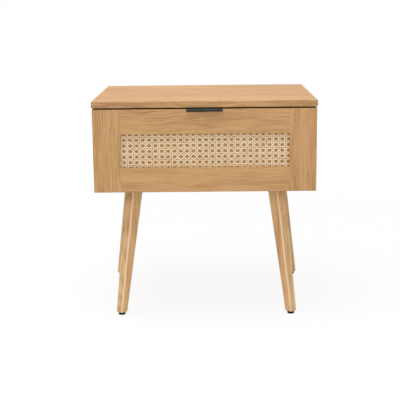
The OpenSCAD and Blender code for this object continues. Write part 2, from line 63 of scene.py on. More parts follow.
# Meshes; lengths are in metres
WELD = 1e-6  # points nearer than this are one
ON_BOX = 1e-5  # how near its board's box an outer edge lies
FLAT = math.radians(0.4)  # faces that meet at less are one flat face
SHARED = 0.6  # cosine over which faces at a corner share a normal
LEG_CREASE = math.radians(60.0)  # edges of a leg over this stay sharp
PULL_CREASE = 0.9  # edges of the pull over this many radians are rounded
LEG_STEPS = 10
FOOT_STEPS = 5
FOOT_TUCK = 0.8  # how far the foot's rounding goes in for its height
FOOT_RING = 0.0015  # where a leg's foot is measured, above its end
RING_BAND = 0.0003  # how near that height a point must lie
BALL_SEGMENTS, BALL_RINGS = 20, 12

# Cane
STRAND_SIDES = 6
BENDS = 6.0  # straight bits of a strand in one column pitch
SHORTEST = 0.004  # shorter strands in the corners are left out
SPARE_SLANTS = 8.0
STRAIGHT_RISE = 0.6  # share of the weave height that straight strands rise
HOLD_BACK = 0.40  # share of a slanted strand's width kept free at the edges
STRAIGHT_TONES, SLANT_TONES = (0.20, 0.75), (0.0, 0.4)
COLUMN_SEED, ROW_SEED, SLANT_SEED = 11, 21, 31

# Stage
KEY_PLACE, KEY_AIM, KEY_SIZE = (-0.35, -0.35, 2.3), (0.0, 0.0, 0.4), 1.9
FILL_PLACE, FILL_AIM, FILL_SIZE = (0.1, -2.75, 1.5), (0.0, 0.0, 0.35), 1.6
SENSOR = 36.0
FLOOR_SIZE = 12.0
FLOOR_TONE = (0.80, 0.80, 0.80, 1.0)
FLOOR_GLOW = 0.86  # share of plain white that the camera sees near the legs
GLOW_FROM, GLOW_TO = 0.5, 1.8  # distances over which it grows to the whole
MIRRORED = 0.3  # share of the white surroundings seen in shiny parts


# ---------------------------------------------------------------- settings

def colour(name, default, text):
    return FloatVectorProperty(name=name, description=text, default=default, subtype="COLOR",
                               size=3, min=0.0, max=1.0)


def length(name, default, text):
    return FloatProperty(name=name, description=text, default=default, unit="LENGTH",
                         subtype="DISTANCE", precision=4, min=0.0)


class TableWood(PropertyGroup):
    """Colours and grain of the veneer and the legs."""
    light: colour("Light", (0.630, 0.378, 0.160), "Palest wood of the veneer")
    dark: colour("Dark", (0.350, 0.172, 0.056), "Darkest growth rings of the veneer")
    blush: colour("Blush", (0.625, 0.348, 0.156), "Warmer patches of the veneer")
    pore: colour("Pores", (0.230, 0.110, 0.040), "Open pores along the grain")
    # Painted shade: near-black colour drawn on the drawer front's top face for the shadow in the
    # gap under the top.
    gap_shadow: colour("Gap shadow", (0.016, 0.010, 0.006), "Dark edging on top of the drawer front")
    leg_light: colour("Leg light", (0.790, 0.515, 0.235), "Palest wood of the legs")
    leg_dark: colour("Leg dark", (0.460, 0.235, 0.085), "Darkest streaks of the legs")
    leg_blush: colour("Leg blush", (0.740, 0.410, 0.200), "Reddish streaks of the legs")
    # Painted highlight: pale colour along the legs' rounded long edges, standing for the light they
    # catch.
    leg_highlight: colour("Leg highlight", (0.960, 0.720, 0.440), "Highlighted edges of the legs")
    ring: length("Ring spacing", 0.0052, "Distance between growth rings in the veneer")
    top_ease: length("Top easing", 0.0014, "Rounding of the edges of the top")
    board_ease: length("Board easing", 0.0006, "Rounding of the other boards' edges")
    seam_ease: length("Seam easing", 0.0003, "Rounding of the drawer front's joints")
    leg_round: length("Leg rounding", 0.0045, "Rounding of the legs' long edges")
    foot_round: length("Foot rounding", 0.0024, "Rounding of the legs' lower ends")


class TableCane(PropertyGroup):
    """Sizes and colours of the woven cane."""
    pitch_x: length("Column pitch", 0.0141,
                    "Distance between the middles of two holes, left to right")
    pitch_z: length("Row pitch", 0.0126, "Distance between the middles of two holes, up and down")
    first_x: length("First column", 0.0084, "First hole's middle from the window's left edge")
    first_z: length("First row", 0.0010, "First hole's middle below the window's top edge")
    pair_gap: length("Pair spacing", 0.0034, "Distance between the two strands of a pair")
    straight_w: length("Straight strand", 0.00145, "Width of the upright and level strands")
    slant_w: length("Slanted strand", 0.0018, "Width of the slanted strands")
    thick: length("Thickness", 0.00046, "Thickness of a strand")
    weave: length("Weave height", 0.00040, "How far a strand rises over another")
    light: colour("Light", (1.000, 0.810, 0.550), "Palest cane")
    dark: colour("Dark", (0.800, 0.495, 0.225), "Darkest cane")
    board: colour("Board", (0.400, 0.220, 0.088), "Board behind the cane")


class TableHardware(PropertyGroup):
    """Colours and sizes of the metal and plastic parts."""
    black: colour("Black metal", (0.008, 0.007, 0.005),
                  "Powder coat of the pull and the leg plates")
    zinc: colour("Zinc", (0.560, 0.570, 0.580), "Plated slides and screws")
    plastic: colour("Black plastic", (0.006, 0.006, 0.006), "Glides")
    pull_ease: length("Pull easing", 0.0004, "Rounding of the pull's edges")
    balls: IntProperty(name="Balls", description="Balls in one row of a slide", default=8, min=1)


class TableStage(PropertyGroup):
    """Camera and lights."""
    eye: FloatVectorProperty(name="Eye", description="Place of the camera", subtype="XYZ",
                             unit="LENGTH", default=(0.0100, -2.378, 0.7225))
    pitch: FloatProperty(name="Pitch", description="How far the camera looks down",
                         subtype="ANGLE", default=math.radians(11.55))
    yaw: FloatProperty(name="Yaw", description="How far the camera turns to the left",
                       subtype="ANGLE", default=math.radians(0.57))
    roll: FloatProperty(name="Roll", description="How far the camera tips to its right",
                        subtype="ANGLE", default=math.radians(0.61))
    lens: FloatProperty(name="Lens", description="Focal length in millimetres on a 36 mm sensor",
                        default=89.2, min=1.0)
    sky: FloatProperty(name="Sky", description="Strength of the light from all round",
                       default=0.62, min=0.0)
    key: FloatProperty(name="Key", description="Power of the overhead lamp in watts",
                       default=29.0, min=0.0)
    fill: FloatProperty(name="Fill", description="Power of the front lamp in watts",
                        default=14.2, min=0.0)


GROUPS = (("table_wood", TableWood), ("table_cane", TableCane),
          ("table_hardware", TableHardware), ("table_stage", TableStage))


# ---------------------------------------------------------------- node trees

class Sock:
    """An output of a node, which can be used in sums."""

    def __init__(self, tree, out):
        self.tree = tree
        self.out = out

    def other(self, name):
        return Sock(self.tree, self.out.node.outputs[name])

    def __add__(self, value):
        return self.tree.math("ADD", self, value)

    def __sub__(self, value):
        return self.tree.math("SUBTRACT", self, value)

    def __rsub__(self, value):
        return self.tree.math("SUBTRACT", value, self)

    def __mul__(self, value):
        return self.tree.math("MULTIPLY", self, value)

    def __truediv__(self, value):
        return self.tree.math("DIVIDE", self, value)

    def __pow__(self, value):
        return self.tree.math("POWER", self, value)

    __radd__ = __add__
    __rmul__ = __mul__


class Tree:
    """A shader or geometry tree whose nodes all come from one method."""

    def __init__(self, tree):
        self.tree = tree

    def node(self, kind, settings=None, inputs=None, out=0):
        made = self.tree.nodes.new(kind)
        for key, value in (settings or {}).items():
            if key == "stops":
                set_stops(made.color_ramp, value)
            else:
                setattr(made, key, value)
        for key, value in (inputs or {}).items():
            if isinstance(value, Sock):
                self.tree.links.new(value.out, made.inputs[key])
            else:
                made.inputs[key].default_value = value
        return Sock(self, made.outputs[out]) if len(made.outputs) else None

    def math(self, operation, *values):
        return self.node("ShaderNodeMath", {"operation": operation}, dict(enumerate(values)))

    def vector(self, x, y, z):
        return self.node("ShaderNodeCombineXYZ", None, {0: x, 1: y, 2: z})

    def limit(self, value, low, high):
        """0 below low, 1 above high, and smooth between."""
        return self.node("ShaderNodeMapRange", {"interpolation_type": "SMOOTHSTEP"},
                         {"Value": value, "From Min": low, "From Max": high})

    def mix(self, factor, first, second):
        return self.node("ShaderNodeMix", {"data_type": "RGBA"},
                         {0: factor, 6: first, 7: second}, out=2)

    def noise(self, where, scale=1.0, detail=2.0, rough=0.5):
        return self.node("ShaderNodeTexNoise", None,
                         {"Vector": where, "Scale": scale, "Detail": detail, "Roughness": rough})


def set_stops(ramp, stops):
    while len(ramp.elements) < len(stops):
        ramp.elements.new(1.0)
    for element, (place, shade) in zip(ramp.elements, stops):
        element.position = place
        element.color = shade


def rgba(shade, gain=1.0, plus=0.0):
    return (*(v * gain + plus for v in shade), 1.0)


# ---------------------------------------------------------------- materials

def material(name, paint):
    """Makes a material once; paint adds its nodes and returns the shader."""
    name += "_finish"
    if name in bpy.data.materials:
        return bpy.data.materials[name]
    made = bpy.data.materials.new(name)
    made.use_nodes = True
    made.node_tree.nodes.clear()
    tree = Tree(made.node_tree)
    tree.node("ShaderNodeOutputMaterial", None, {"Surface": paint(tree)})
    return made


def object_axes(tree):
    """The three object coordinates, one socket each."""
    place = tree.node("ShaderNodeTexCoord", out="Object")
    x = tree.node("ShaderNodeSeparateXYZ", None, {0: place})
    return x, x.other(1), x.other(2)


def bumped(tree, height, distance):
    return tree.node("ShaderNodeBump", None,
                     {"Strength": 1.0, "Distance": distance, "Height": height}, out="Normal")


def oak(name, along, across, start, strength=1.0, lift=1.0, gap_shadow=None, gloss=1.40, rim=None):
    """Oak veneer. along and across name the axes of the grain and of the rings in its face.
    gap_shadow gives the front and top planes of a board whose top face, behind its front, gets a
    near-black painted shadow in place of the shade in the gap under the top, and rim the height
    under which the board is drawn a little darker, on its sides and underside."""
    wood = bpy.context.scene.table_wood

    # Noise scales are per metre: small along the grain, large across it.
    def paint(tree):
        axes = object_axes(tree)
        depth = 3 - along - across
        a = axes[along] + start
        b = axes[across] + 0.37 * start
        c = axes[depth]
        sway = tree.noise(tree.vector(a * 4.2, b * 9.0, c * 9.0), detail=2.0) - 0.5
        ripple = tree.noise(tree.vector(a * 24.0, b * 80.0, c * 80.0), detail=3.0) - 0.5
        phase = (b + c * 0.4) / wood.ring + sway * 9.0 + ripple * 1.3
        wave = tree.math("SINE", phase * TURN) * 0.5 + 0.5
        ring = wave ** 1.7
        calm = tree.noise(tree.vector(a * 1.9 + 3.1, b * 16.0, c * 16.0), detail=2.0)
        fibre = tree.noise(tree.vector(a * 16.0, b * 620.0, c * 620.0), detail=3.0, rough=0.65)
        bend = (sway + ripple * 0.25) * 0.035
        streak = tree.noise(tree.vector(a * 13.0 + 7.7, (b + bend) * 270.0, c * 270.0),
                            detail=3.0, rough=0.62)
        patch = tree.noise(tree.vector(a * 5.0 + 2.9, b * 38.0, c * 38.0), detail=2.0)
        speck = tree.noise(tree.vector(a * 130.0, b * 2300.0, c * 2300.0), detail=1.0)
        pore = tree.limit(speck, 0.60, 0.72) * (0.35 + 0.65 * ring)
        fleck = tree.noise(tree.vector(a * 300.0, b * 75.0, c * 75.0), detail=1.0)
        broad = tree.noise(tree.vector(a * 2.4 + 1.3, b * 5.0, c * 5.0), detail=1.0)
        depth_of_ring = ring * tree.limit(calm, 0.30, 0.75) * (0.24 * strength)
        dark = depth_of_ring + (fibre - 0.5) * (0.6 * strength)
        dark = dark + (streak - 0.5) * (1.45 * strength)
        dark = dark + (patch - 0.5) * (0.7 * strength) + 0.30
        if rim:
            dark = dark + tree.limit(axes[2], rim, rim - 0.0006) * 0.20
        base = tree.mix(tree.limit(broad, 0.35, 0.66), rgba(wood.light, lift),
                        rgba(wood.blush, lift))
        body = tree.mix(tree.limit(dark, 0.0, 1.0), base, rgba(wood.dark, lift))
        body = tree.mix(tree.limit(fleck, 0.66, 0.78) * 0.10, body, rgba(wood.light, lift))
        body = tree.mix(pore * 0.42, body, rgba(wood.pore))
        # Painted shadow: behind the front edge, the board's top face goes near black in place of
        # the shade in the gap under the top.
        if gap_shadow:
            front, top = gap_shadow
            gap_shadow_mask = tree.limit(axes[1], front + 0.0004, front + 0.0012)
            gap_shadow_mask = gap_shadow_mask * tree.limit(axes[2], top - 0.0004, top - 0.0001)
            body = tree.mix(gap_shadow_mask * 0.93, body, rgba(wood.gap_shadow))
        height = fibre * 0.25 - pore * 0.8 - ring * 0.15
        return tree.node("ShaderNodeBsdfPrincipled", None, {
            "Base Color": body, "Roughness": 0.50 + fibre * 0.16 + pore * 0.2,
            "IOR": gloss, "Normal": bumped(tree, height, 0.00010)})

    return material(name, paint)


def leg_wood(name, start):
    """Solid hardwood of the legs, with long uneven streaks down the leg."""
    wood = bpy.context.scene.table_wood

    def paint(tree):
        x, y, z = object_axes(tree)
        a = z + start
        sway = tree.noise(tree.vector(a * 3.0, x * 10.0 + start, y * 10.0), detail=2.0) - 0.5
        phase = (x * 0.8 + y * 0.6) / 0.0085 + sway * 4.2
        ring = (tree.math("SINE", phase * TURN) * 0.5 + 0.5) ** 1.5
        streak = tree.noise(tree.vector(a * 7.0, x * 150.0 + start, y * 150.0),
                            detail=3.0, rough=0.6)
        fibre = tree.noise(tree.vector(a * 22.0, x * 700.0, y * 700.0), detail=3.0, rough=0.65)
        warm = tree.noise(tree.vector(a * 4.0 + 2.0, x * 55.0 + start, y * 55.0), detail=2.0)
        speck = tree.noise(tree.vector(a * 110.0, x * 1700.0, y * 1700.0), detail=1.0)
        pore = tree.limit(speck, 0.58, 0.70)
        mark = tree.noise(tree.vector(a * 13.0 + 5.0, x * 120.0 + start, y * 120.0), detail=2.0)
        dark = ring * 0.34 + (streak - 0.5) * 2.0 + (fibre - 0.5) * 0.6 + 0.20
        base = tree.mix(tree.limit(warm, 0.46, 0.66), rgba(wood.leg_light), rgba(wood.leg_blush))
        body = tree.mix(tree.limit(dark, 0.0, 1.0) * 0.85, base, rgba(wood.leg_dark))
        body = tree.mix(tree.limit(mark, 0.68, 0.80) * 0.5, body, rgba(wood.leg_dark))
        body = tree.mix(pore * 0.35, body, rgba(wood.pore))
        # Painted highlight: a leg's rounded long edges are drawn paler, in place of the light they
        # catch, broken up by the streaks.
        rubbed = tree.node("ShaderNodeAttribute", {"attribute_name": "rubbed"}, out="Fac")
        edge = tree.limit(rubbed + (streak - 0.5) * 0.5, 0.35, 0.95)
        body = tree.mix(edge * 0.75, body, rgba(wood.leg_highlight))
        height = fibre * 0.3 - pore * 0.8
        return tree.node("ShaderNodeBsdfPrincipled", None, {
            "Base Color": body, "Roughness": 0.36 + fibre * 0.14 + pore * 0.2,
            "IOR": 1.48, "Coat Weight": 0.12 + fibre * 0.05, "Coat Roughness": 0.28,
            "Normal": bumped(tree, height, 0.00009)})

    return material(name, paint)


def cane_skin():
    """Glossy cane strands with fine lengthwise fibres and a tone of their own."""
    cane = bpy.context.scene.table_cane

    def paint(tree):
        x, y, z = object_axes(tree)
        tone = tree.node("ShaderNodeAttribute", {"attribute_name": "tone"}, out="Fac")
        patch = tree.noise(tree.vector(x * 60.0, y * 60.0, z * 60.0), detail=3.0)
        fibre = tree.noise(tree.vector(x * 900.0, y * 900.0, z * 900.0), detail=2.0)
        knot = tree.noise(tree.vector(x * 33.0 + 4.0, tone * 9.0, z * 33.0), detail=1.0)
        dark = (patch - 0.5) * 1.1 + (tone - 0.5) * 0.85 + (fibre - 0.5) * 0.4 + 0.36
        body = tree.mix(tree.limit(dark, 0.0, 1.0), rgba(cane.light), rgba(cane.dark))
        body = tree.mix(tree.limit(knot, 0.70, 0.78) * 0.4, body, rgba(cane.dark, 0.5))
        return tree.node("ShaderNodeBsdfPrincipled", None, {
            "Base Color": body, "Roughness": 0.34 + fibre * 0.2,
            "Normal": bumped(tree, fibre, 0.00005)})

    return material("cane_strand", paint)


def fibre_board(name, shade, grain=0.35, rough=0.7):
    """Pressed board: fine speckle with a few longer fibres."""
    def paint(tree):
        x, y, z = object_axes(tree)
        fine = tree.noise(tree.vector(x * 700.0, y * 700.0, z * 700.0), detail=3.0, rough=0.7)
        long_fibre = tree.noise(tree.vector(x * 60.0, y * 420.0, z * 420.0), detail=3.0)
        broad = tree.noise(tree.vector(x * 9.0, y * 9.0, z * 9.0), detail=2.0)
        dark = (fine - 0.5) * 1.2 + (long_fibre - 0.5) * 0.9 + (broad - 0.5) * 0.6 + 0.5
        body = tree.mix(tree.limit(dark, 0.0, 1.0), rgba(shade, 1 + grain),
                        rgba(shade, 1 - grain))
        return tree.node("ShaderNodeBsdfPrincipled", None, {
            "Base Color": body, "Roughness": rough - 0.1 + fine * 0.2,
            "Normal": bumped(tree, fine, 0.00008)})

    return material(name, paint)


def powder_coat(name, shade, rough=0.42):
    """Satin powder coat with a fine orange peel."""
    def paint(tree):
        x, y, z = object_axes(tree)
        peel = tree.noise(tree.vector(x * 900.0, y * 900.0, z * 900.0), detail=2.0)
        dust = tree.noise(tree.vector(x * 70.0, y * 70.0, z * 70.0), detail=3.0)
        body = tree.mix(tree.limit(dust, 0.35, 0.8), rgba(shade), rgba(shade, 1.8, 0.004))
        return tree.node("ShaderNodeBsdfPrincipled", None, {
            "Base Color": body, "Roughness": rough - 0.06 + peel * 0.12 + dust * 0.06, "IOR": 1.38,
            "Normal": bumped(tree, peel, 0.00006)})

    return material(name, paint)


def plated(name, shade, rough=0.3, run=1):
    """Plated steel, with faint drawing lines along one axis."""
    def paint(tree):
        axes = list(object_axes(tree))
        spread = [900.0, 900.0, 900.0]
        spread[run] = 14.0
        lines = tree.noise(tree.vector(*[axis * k for axis, k in zip(axes, spread)]), detail=3.0)
        cloud = tree.noise(tree.vector(*[axis * 45.0 for axis in axes]), detail=3.0)
        body = tree.mix(tree.limit(cloud, 0.3, 0.75), rgba(shade, 0.86), rgba(shade))
        return tree.node("ShaderNodeBsdfPrincipled", None, {
            "Base Color": body, "Metallic": 1.0,
            "Roughness": rough - 0.08 + lines * 0.16 + cloud * 0.08,
            "Normal": bumped(tree, lines, 0.00003)})

    return material(name, paint)


def moulded(name, shade, rough=0.5):
    """Moulded plastic or rubber with a fine texture."""
    def paint(tree):
        x, y, z = object_axes(tree)
        grain = tree.node("ShaderNodeTexVoronoi", None,
                          {"Vector": tree.vector(x, y, z), "Scale": 1600.0}, out="Distance")
        scuff = tree.noise(tree.vector(x * 160.0, y * 160.0, z * 60.0), detail=3.0)
        body = tree.mix(tree.limit(scuff, 0.5, 0.8), rgba(shade), rgba(shade, 1.7, 0.006))
        return tree.node("ShaderNodeBsdfPrincipled", None, {
            "Base Color": body, "Roughness": rough + scuff * 0.12, "IOR": 1.4,
            "Normal": bumped(tree, grain, 0.00004)})

    return material(name, paint)


# ---------------------------------------------------------------- meshes

def dress(obj, finish):
    obj.data.materials.clear()
    obj.data.materials.append(finish)


def dress_node(node, finish):
    """Gives a CAD node its finish and leaves its shape alone."""
    dress(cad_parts[node], finish)


def add_piece(name, mesh, finish, body, nodes):
    """Adds a finished piece, which rides on a body and stands for some CAD nodes."""
    obj = bpy.data.objects.new(name, mesh)
    bpy.context.scene.collection.objects.link(obj)
    dress(obj, finish)
    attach(obj, body)
    if nodes:
        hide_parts(*nodes)
    return obj


def merged_copy(node):
    """A copy of a CAD node as one joined mesh with its flat faces whole."""
    work = bmesh.new()
    work.from_mesh(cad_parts[node].data)
    bmesh.ops.remove_doubles(work, verts=work.verts, dist=WELD)
    bmesh.ops.dissolve_limit(work, angle_limit=FLAT, verts=work.verts, edges=work.edges)
    return work


def outline_edges(work, low, high):
    """Edges of a mesh that lie along the edges of its box."""
    def planes(vert):
        return {(axis, side) for axis in range(3) for side, end in enumerate((low, high))
                if abs(vert.co[axis] - end[axis]) < ON_BOX}
    return [e for e in work.edges if len(planes(e.verts[0]) & planes(e.verts[1])) >= 2]


def eased_mesh(work, name, rounded):
    """Mesh data in which flat faces keep their own normal and the rounded ones blend into them."""
    work.normal_update()
    rounded = set(rounded)
    normals = []
    for face in work.faces:
        for loop in face.loops:
            near = [f for f in loop.vert.link_faces if f.normal.dot(face.normal) > SHARED]
            flats = [f for f in near if f not in rounded]
            if face not in rounded:
                normals.append(face.normal.copy())
            elif flats:
                normals.append(max(flats, key=lambda f: f.normal.dot(face.normal)).normal.copy())
            else:
                normals.append(sum((f.normal for f in near), Vector()).normalized())
    mesh = bpy.data.meshes.new(name)
    work.to_mesh(mesh)
    work.free()
    mesh.polygons.foreach_set("use_smooth", [True] * len(mesh.polygons))
    mesh.normals_split_custom_set(normals)
    return mesh


def smooth_mesh(work, name, crease):
    """Turns a work mesh into mesh data that is smooth except at its sharp edges."""
    mesh = bpy.data.meshes.new(name)
    work.to_mesh(mesh)
    work.free()
    mesh.polygons.foreach_set("use_smooth", [True] * len(mesh.polygons))
    mesh.set_sharp_from_angle(angle=crease)
    return mesh


def eased(node, ease, finish, body, steps=3):
    """A CAD board with its outer edges rounded."""
    low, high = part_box(node)
    work = merged_copy(node)
    made = bmesh.ops.bevel(work, geom=outline_edges(work, low, high), offset=ease, segments=steps,
                           profile=0.5, affect="EDGES", clamp_overlap=True)
    mesh = eased_mesh(work, node + "_eased", made["faces"])
    return add_piece(node + "_eased", mesh, finish, body, [node])


def slab(name, low, high, ease, finish, body, nodes):
    """A plain board between two corners, with round edges."""
    work = bmesh.new()
    bmesh.ops.create_cube(work, size=1.0)
    middle, size = (low + high) / 2, high - low
    for vert in work.verts:
        vert.co = Vector([middle[i] + vert.co[i] * size[i] for i in range(3)])
    made = bmesh.ops.bevel(work, geom=work.edges[:], offset=ease, segments=4, profile=0.5,
                           affect="EDGES", clamp_overlap=True)
    mesh = eased_mesh(work, name, made["faces"])
    return add_piece(name, mesh, finish, body, nodes)


def loft(rings):
    """Joins rings of points, each with the same count, into a closed skin."""
    work = bmesh.new()
    rows = [[work.verts.new(p) for p in ring] for ring in rings]
    count = len(rows[0])
    for one, two in zip(rows, rows[1:]):
        for i in range(count):
            j = (i + 1) % count
            work.faces.new((one[i], one[j], two[j], two[i]))
    work.faces.new(list(reversed(rows[0])))
    work.faces.new(rows[-1])
    bmesh.ops.recalc_face_normals(work, faces=work.faces)
    return work


def corner_ring(middle, reach, round_r, z, steps=6):
    """A square with round corners, turned so that a corner points forwards.
    reach is how far its corners lie from the middle."""
    tip = reach - round_r
    points = []
    for k in range(4):
        turn = k * math.pi / 2
        for i in range(steps + 1):
            a = turn - math.pi / 4 + i * math.pi / 2 / steps
            points.append(Vector((middle[0] + tip * math.cos(turn) + round_r * math.cos(a),
                                  middle[1] + tip * math.sin(turn) + round_r * math.sin(a), z)))
    return points


# ---------------------------------------------------------------- cane tree

def cane_tree():
    """Geometry tree that weaves a sheet of cane in the X-Y plane, face up.
    Holes lie at whole numbers of pitches from the origin."""
    group = bpy.data.node_groups.new("cane_weave", "GeometryNodeTree")
    group.interface.new_socket("Geometry", in_out="INPUT", socket_type="NodeSocketGeometry")
    for name in ("Pitch X", "Pitch Y", "Low X", "High X", "Low Y", "High Y", "Pair spacing",
                 "Straight width", "Slant width", "Thickness", "Weave height"):
        group.interface.new_socket(name, in_out="INPUT", socket_type="NodeSocketFloat")
    group.interface.new_socket("Finish", in_out="INPUT", socket_type="NodeSocketMaterial")
    group.interface.new_socket("Geometry", in_out="OUTPUT", socket_type="NodeSocketGeometry")
    tree = Tree(group)
    given = tree.node("NodeGroupInput")
    px, py = given.other("Pitch X"), given.other("Pitch Y")
    x0, x1 = given.other("Low X"), given.other("High X")
    y0, y1 = given.other("Low Y"), given.other("High Y")
    half_pair = given.other("Pair spacing") * 0.5
    lift = given.other("Weave height")

    def strands(count, start, end, width, rise, seed, tones):
        """count strands; start and end give each one's ends from its index."""
        index = tree.node("GeometryNodeInputIndex")
        points = tree.node("GeometryNodePoints", None, {"Count": count})
        unit = tree.node("GeometryNodeCurvePrimitiveLine", {"mode": "POINTS"},
                         {"Start": (0, 0, 0), "End": (1, 0, 0)})
        sx, sy = start(index)
        ex, ey = end(index)
        dx, dy = ex - sx, ey - sy
        size = tree.math("SQRT", dx * dx + dy * dy)
        turn = tree.math("ARCTAN2", dy, dx)
        placed = tree.node("GeometryNodeSetPosition", None,
                           {"Geometry": points, "Position": tree.vector(sx, sy, 0.0)})
        keep = tree.node("FunctionNodeCompare", {"data_type": "FLOAT", "operation": "GREATER_THAN"},
                         {0: size, 1: SHORTEST})
        lines = tree.node("GeometryNodeInstanceOnPoints", None, {
            "Points": placed, "Selection": keep, "Instance": unit,
            "Rotation": tree.vector(0.0, 0.0, turn), "Scale": tree.vector(size, 1.0, 1.0)})
        real = tree.node("GeometryNodeRealizeInstances", None, {"Geometry": lines})
        number = tree.node("GeometryNodeInputIndex")
        chance = tree.node("FunctionNodeRandomValue", {"data_type": "FLOAT"},
                           {2: tones[0], 3: tones[1], "ID": number, "Seed": seed}, out=1)
        toned = tree.node("GeometryNodeStoreNamedAttribute",
                          {"data_type": "FLOAT", "domain": "CURVE"},
                          {"Geometry": real, "Name": "tone", "Value": chance})
        fine = tree.node("GeometryNodeResampleCurve", {"mode": "LENGTH"},
                         {"Curve": toned, "Length": px / BENDS})
        place = tree.node("GeometryNodeInputPosition")
        at_x = tree.node("ShaderNodeSeparateXYZ", None, {0: place})
        up = rise(at_x / px, at_x.other(1) / py)
        bent = tree.node("GeometryNodeSetPosition", None,
                         {"Geometry": fine, "Offset": tree.vector(0.0, 0.0, up)})
        level = tree.node("GeometryNodeSetCurveNormal", {"mode": "Z_UP"}, {"Curve": bent})
        ring = tree.node("GeometryNodeCurvePrimitiveCircle", None,
                         {"Resolution": STRAND_SIDES, "Radius": 0.5})
        flat = tree.node("GeometryNodeTransform", None, {
            "Geometry": ring, "Scale": tree.vector(width, given.other("Thickness"), 1.0)})
        return tree.node("GeometryNodeCurveToMesh", None,
                         {"Curve": level, "Profile Curve": flat, "Fill Caps": True})

    def parity(whole, part):
        """1 at even crossings and -1 at odd ones."""
        return tree.math("COSINE", (tree.math("ROUND", whole) + part) * math.pi)

    reach = half_pair + given.other("Straight width") * 0.5

    def half_steps(low, pitch):
        """The first half-pitch line whose pair of strands lies wholly above a place."""
        return (tree.math("CEIL", (low + reach) / pitch - 0.5) + 0.5) * pitch

    def column(shift):
        def ends(y):
            return lambda index: (half_steps(x0, px) + index * px + shift, y)
        return ends(y0), ends(y1)

    def row(shift):
        def ends(x):
            return lambda index: (x, half_steps(y0, py) + index * py + shift)
        return ends(x0), ends(x1)

    def slant(sign):
        """Lines x/px - sign*y/py = a half number, cut off at the sheet's edges."""
        first = tree.math("FLOOR", x0 / px - tree.math("MAXIMUM", y1 / py, y0 / py * -1.0)) + 0.5

        def ends(low_end):
            def place(index):
                k = first + index
                at_low = (x0 / px - k) * (sign * py)
                at_high = (x1 / px - k) * (sign * py)
                near = tree.math("MINIMUM", at_low, at_high)
                far = tree.math("MAXIMUM", at_low, at_high)
                y = tree.math("MAXIMUM", y0, near) if low_end else tree.math("MINIMUM", y1, far)
                y = tree.math("MAXIMUM", tree.math("MINIMUM", y, y1), y0)
                x = (k + y / py * sign) * px
                x = tree.math("MAXIMUM", tree.math("MINIMUM", x, x1), x0)
                return x, y
            return place
        return ends(True), ends(False)

    columns = tree.math("FLOOR", (x1 - reach - half_steps(x0, px)) / px) + 1.0
    rows = tree.math("FLOOR", (y1 - reach - half_steps(y0, py)) / py) + 1.0
    slants = columns + rows * 2.0 + SPARE_SLANTS
    straight, wide = given.other("Straight width"), given.other("Slant width")

    def upright_rise(u, v):
        return parity(u - 0.5, v - 0.5) * lift * STRAIGHT_RISE

    def level_rise(u, v):
        return parity(v - 0.5, u - 0.5) * lift * -STRAIGHT_RISE

    def slant_rise(sign):
        return lambda u, _v: tree.math("COSINE", u * TURN) * lift * -sign

    parts = []
    for n, side in enumerate((-1.0, 1.0)):
        start, end = column(half_pair * side)
        parts.append(strands(columns, start, end, straight, upright_rise, COLUMN_SEED + n,
                             STRAIGHT_TONES))
        start, end = row(half_pair * side)
        parts.append(strands(rows, start, end, straight, level_rise, ROW_SEED + n,
                             STRAIGHT_TONES))
        start, end = slant(side)
        parts.append(strands(slants, start, end, wide, slant_rise(side), SLANT_SEED + n,
                             SLANT_TONES))
    joined = tree.node("GeometryNodeJoinGeometry")
    for part in parts:
        group.links.new(part.out, joined.out.node.inputs[0])
    smooth = tree.node("GeometryNodeSetShadeSmooth", None, {"Geometry": joined})
    real = tree.node("GeometryNodeRealizeInstances", None, {"Geometry": smooth})
    coloured = tree.node("GeometryNodeSetMaterial", None,
                         {"Geometry": real, "Material": given.other("Finish")})
    tree.node("NodeGroupOutput", None, {0: coloured})
    return group


def ball_tree():
    """Geometry tree for two rows of balls, one above the other."""
    group = bpy.data.node_groups.new("ball_rows", "GeometryNodeTree")
    group.interface.new_socket("Geometry", in_out="INPUT", socket_type="NodeSocketGeometry")
    group.interface.new_socket("Count", in_out="INPUT", socket_type="NodeSocketInt")
    for name in ("First", "Step", "Row step"):
        group.interface.new_socket(name, in_out="INPUT", socket_type="NodeSocketVector")
    group.interface.new_socket("Radius", in_out="INPUT", socket_type="NodeSocketFloat")
    group.interface.new_socket("Finish", in_out="INPUT", socket_type="NodeSocketMaterial")
    group.interface.new_socket("Geometry", in_out="OUTPUT", socket_type="NodeSocketGeometry")
    tree = Tree(group)
    given = tree.node("NodeGroupInput")
    ball = tree.node("GeometryNodeMeshUVSphere", None, {
        "Segments": BALL_SEGMENTS, "Rings": BALL_RINGS, "Radius": given.other("Radius")})
    line = tree.node("GeometryNodeMeshLine", {"mode": "OFFSET"}, {
        "Count": given.other("Count"), "Start Location": given.other("First"),
        "Offset": given.other("Step")})
    row = tree.node("GeometryNodeInstanceOnPoints", None, {"Points": line, "Instance": ball})
    lifted = tree.node("GeometryNodeTransform", None,
                       {"Geometry": row, "Translation": given.other("Row step")})
    joined = tree.node("GeometryNodeJoinGeometry")
    for part in (row, lifted):
        group.links.new(part.out, joined.out.node.inputs[0])
    real = tree.node("GeometryNodeRealizeInstances", None, {"Geometry": joined})
    smooth = tree.node("GeometryNodeSetShadeSmooth", None, {"Geometry": real})
    coloured = tree.node("GeometryNodeSetMaterial", None,
                         {"Geometry": smooth, "Material": given.other("Finish")})
    tree.node("NodeGroupOutput", None, {0: coloured})
    return group


